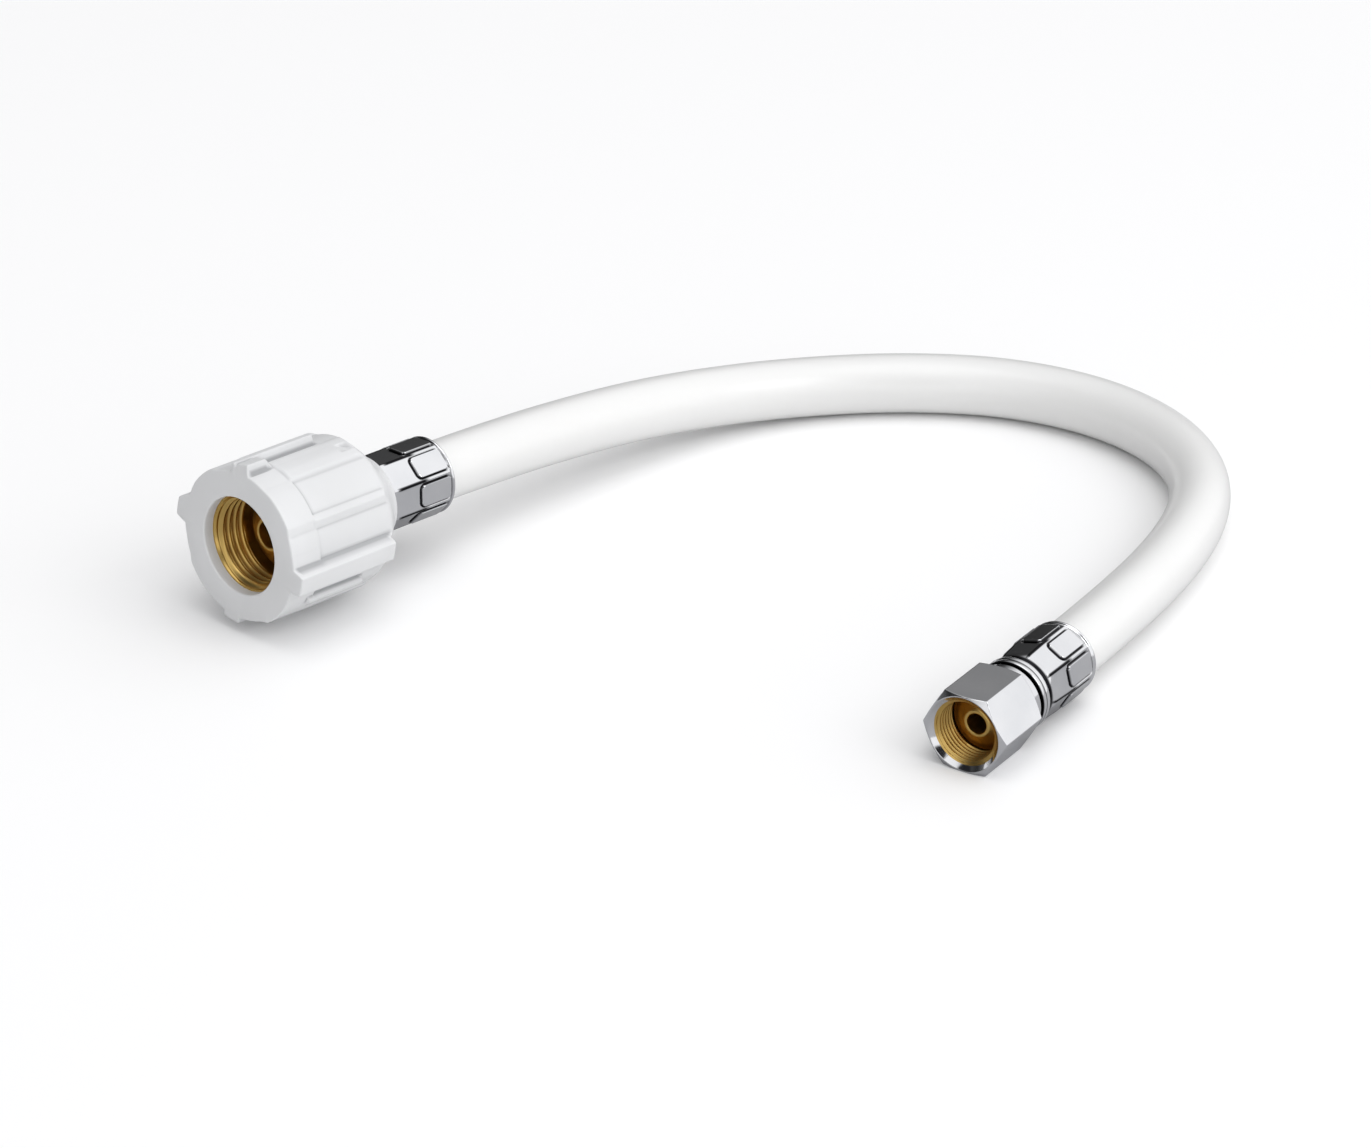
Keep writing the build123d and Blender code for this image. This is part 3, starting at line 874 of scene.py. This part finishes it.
def comp_limits(z):
    """The mouth's bevel, the relief behind the thread, and the crests."""
    mouth = cone(z, (THREAD_START, 7.44), (1.5, 6.62))
    relief = cone(z, (6.9, 6.62), (THREAD_END, 7.35))
    return np.maximum(np.maximum(mouth, relief), 6.6)


def hex_radius(theta, d):
    """The hex nut's outer radius: a hexagon inside two 30 degree cones."""
    front = HEX_FRONT_R + np.maximum(d, 0) / BEVEL_SLOPE
    rear = HEX_REAR_R + np.maximum(HEX_LENGTH - d, 0) / BEVEL_SLOPE
    return np.minimum(np.minimum(hexagon(theta, HEX_FLATS), front), rear)


def hex_depths(side):
    """The rows of depths that follow the bevels' creases, for the hexagon's radius at each angle."""
    front = (side - HEX_FRONT_R) * BEVEL_SLOPE
    rear = HEX_LENGTH - (side - HEX_REAR_R) * BEVEL_SLOPE
    rows = [side * 0.0, front * 0.35, front * 0.7]
    rows += [front + step * np.minimum(front, 1) for step in (-0.14, -0.07)]
    rows += [front, front + 0.1, front + 0.2]
    rows += [front + 0.2 + (rear - front - 0.4) * share for share in np.linspace(0.03, 0.97, 14)]
    rows += [rear + step for step in (-0.2, -0.1, 0.0, 0.08, 0.16)]
    rows += [rear + 0.16 + (HEX_LENGTH - rear - 0.16) * share for share in (0.5, 1.0)]
    return np.concatenate(rows)


def build_hex_nut():
    columns = 120
    beside_corners = [60 * k + off for k in range(6) for off in (-1.5, -0.9, -0.45, 0.45, 0.9, 1.5)]
    theta = np.concatenate([np.linspace(0, 360, columns, endpoint=False), beside_corners])
    theta = np.unique(np.round(np.mod(theta, 360), 4))
    angles = np.radians(theta)
    d = hex_depths(hexagon(theta[None, :], HEX_FLATS))
    outer = soften(hex_radius, np.repeat(theta[None, :], len(d), axis=0), d, angle=0.7, reach=0.08)
    outer[0] = HEX_FRONT_R
    behind = rounded(
        [
            (HEX_REAR_R, HEX_LENGTH, 0), (7.95, 16.02, 0.1), (7.9, 16.3, 0.12), (7.9, 18.35, 0.15),
            (7.55, 18.7, 0.15), (4.95, 18.7, 0.15), (4.75, 18.5, 0), (4.75, 11.8, 0), (4.95, 11.6, 0.1),
            (7.15, 11.6, 0.15), (7.35, 11.4, 0), (7.35, THREAD_END, 0),
        ]
    )
    outside = grid(*stack_rings([(outer, d)] + plain_rings(len(theta), behind)), angles)
    rim = rounded([(HEX_FRONT_R, 0.0, 0), (8.5, 0.0, 0.05), (8.36, 0.05, 0.08), (7.44, THREAD_START, 0)])
    mouth = grid(*stack_rings(plain_rings(len(theta), rim)), angles)
    helix = thread_grid(THREAD_START, THREAD_END, COMP_PITCH, COMP_PROFILE, comp_limits, columns)
    all_verts, all_faces, slots = join([(*outside, 0), (*mouth, 0), (*helix, 1)])
    # the plating stops at the stem's bore: the walls from there to the thread are bare brass
    bore_row = len(d) + int(np.argmin(behind[:, 0]))
    for n in range(bore_row * len(theta), len(outside[1])):
        slots[n] = 1
    nut = finish_mesh("valve_hex_nut_plated", all_verts, all_faces, [chrome, brass], slots, place=VALVE, sharp=24)

    # painted shade: dark lines at the rear edge of the collar and where the collar meets the hexagon
    def painted_shade(theta, d, r):
        return np.maximum(flat_top(d, 18.75, 0.3), flat_top(d, 16.1, 0.3) * (r < 8.15))

    return darken(nut, painted_shade)


carry(build_shell(), "faucet_nut_shell", "faucet_nut")
carry(build_insert(), "faucet_nut_insert", "faucet_nut")
carry(build_faucet_stem(), "faucet_stem", "hose")
carry(build_faucet_ferrule(), "faucet_ferrule", "hose")
carry(build_valve_stem(), "valve_stem", "hose")
carry(build_valve_ferrule(), "valve_ferrule", "hose")
carry(build_hex_nut(), "valve_hex_nut", "valve_nut")
for node in ("faucet_slip_washer", "valve_slip_washer"):
    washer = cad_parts[node]
    washer.data.materials.clear()
    washer.data.materials.append(nylon)

# ------------------------------------------------------------------------------------------- floor, light, camera
FLOOR_HALF = 3.0
FLOOR_COLOR = (0.92, 0.92, 0.92, 1)
FLOOR_IN_MIRROR = (0.36, 0.36, 0.37, 1)
FLAG_COLOR = (0.015, 0.015, 0.017, 1)

floor_mesh = bpy.data.meshes.new("floor")
floor_corners = [(x * FLOOR_HALF, y * FLOOR_HALF, 0) for x, y in ((-1, -1), (1, -1), (1, 1), (-1, 1))]
floor_mesh.from_pydata(floor_corners, [], [(0, 1, 2, 3)])
floor = collection_link(bpy.data.objects.new("floor", floor_mesh))
floor_material, floor_nodes, floor_links, floor_shader = new_material("pale_floor")
floor_shader.inputs["Roughness"].default_value = 0.6
# painted reflection: the floor is painted darker only where the polished metal mirrors it
floor_glossy = floor_nodes.new("ShaderNodeLightPath").outputs["Is Glossy Ray"]
floor_links.new(
    mix_color(floor_nodes, floor_links, floor_glossy, FLOOR_COLOR, FLOOR_IN_MIRROR),
    floor_shader.inputs["Base Color"],
)
floor_mesh.materials.append(floor_material)

world = bpy.data.worlds.new("studio")
bpy.context.scene.world = world
world.use_nodes = True
sky_nodes, sky_links = world.node_tree.nodes, world.node_tree.links
background = sky_nodes["Background"]
sky_coords = sky_nodes.new("ShaderNodeTexCoord").outputs["Generated"]


def facing(toward, start, end):
    """Goes from 0 to 1 as the cosine between a direction and this one goes from start to end."""
    dot = sky_nodes.new("ShaderNodeVectorMath")
    dot.operation = "DOT_PRODUCT"
    sky_links.new(sky_coords, dot.inputs[0])
    dot.inputs[1].default_value = Vector(toward).normalized()
    return map_range(sky_nodes, sky_links, dot.outputs["Value"], 0.0, 1.0, start, end)


def sky_gradient(toward, stops):
    """A sky whose colour depends on how near a direction is to this one."""
    grays = [(at, (grey, grey, grey * 1.01)) for at, grey in stops]
    return color_ramp(sky_nodes, sky_links, facing(toward, -1.0, 1.0), grays)


def black_flag(color, toward, start=0.955, end=0.975):
    """Darkens the sky round a direction; start and end are the cosines where the dark begins and is full."""
    return mix_color(sky_nodes, sky_links, facing(toward, start, end), color, FLAG_COLOR)


# soft light for everything dull, and black and white studio panels for what the polished metal mirrors
soft_sky = sky_gradient((0.8, -0.05, 0.6), [(0.0, 0.26), (0.5, 0.5), (0.75, 0.9), (1.0, 1.42)])
panel_sky = sky_gradient(
    (0.85, 0.0, 0.5), [(0.0, 0.25), (0.24, 0.02), (0.36, 0.06), (0.45, 0.3), (0.62, 0.92), (1.0, 1.08)]
)
panel_sky = black_flag(panel_sky, (0.51, -0.67, 0.54))
panel_sky = black_flag(panel_sky, (-0.49, -0.46, 0.75))
sky_glossy = sky_nodes.new("ShaderNodeLightPath").outputs["Is Glossy Ray"]
sky_links.new(mix_color(sky_nodes, sky_links, sky_glossy, soft_sky, panel_sky), background.inputs["Color"])
background.inputs["Strength"].default_value = 1.0
bpy.context.scene.view_settings.view_transform = "Standard"

LIT_POINT = Vector((0, 0.05, 0))


def area_light(name, place, size, power):
    """A square lamp aimed at the middle of the line."""
    lamp = bpy.data.lights.new(name, "AREA")
    lamp.shape = "RECTANGLE"
    lamp.size = lamp.size_y = size
    lamp.energy = power
    obj = collection_link(bpy.data.objects.new(name, lamp))
    obj.location = place
    obj.rotation_euler = (LIT_POINT - Vector(place)).to_track_quat("-Z", "Y").to_euler()


area_light("key", (1.3, 0.1, 1.1), size=0.8, power=4)
area_light("top", (0.1, 0.0, 1.8), size=1.2, power=6)

SENSOR_WIDTH = 36.0
IMAGE_WIDTH = 1371
FOCAL_LENGTH = 6000         # in the same unit as the image's width
AZIMUTH, ELEVATION, DISTANCE = radians(33.1), radians(27.11), 1.3132
AIM = Vector((-0.0113, 0.0405, 0.0))

camera_data = bpy.data.cameras.new("camera")
camera_data.sensor_fit = "HORIZONTAL"
camera_data.sensor_width = SENSOR_WIDTH
camera_data.lens = SENSOR_WIDTH * FOCAL_LENGTH / IMAGE_WIDTH
camera = collection_link(bpy.data.objects.new("camera", camera_data))
back = Vector((sin(AZIMUTH) * cos(ELEVATION), -cos(AZIMUTH) * cos(ELEVATION), sin(ELEVATION)))
camera.location = AIM + back * DISTANCE
camera.rotation_euler = (-back).to_track_quat("-Z", "Y").to_euler()
bpy.context.scene.camera = camera
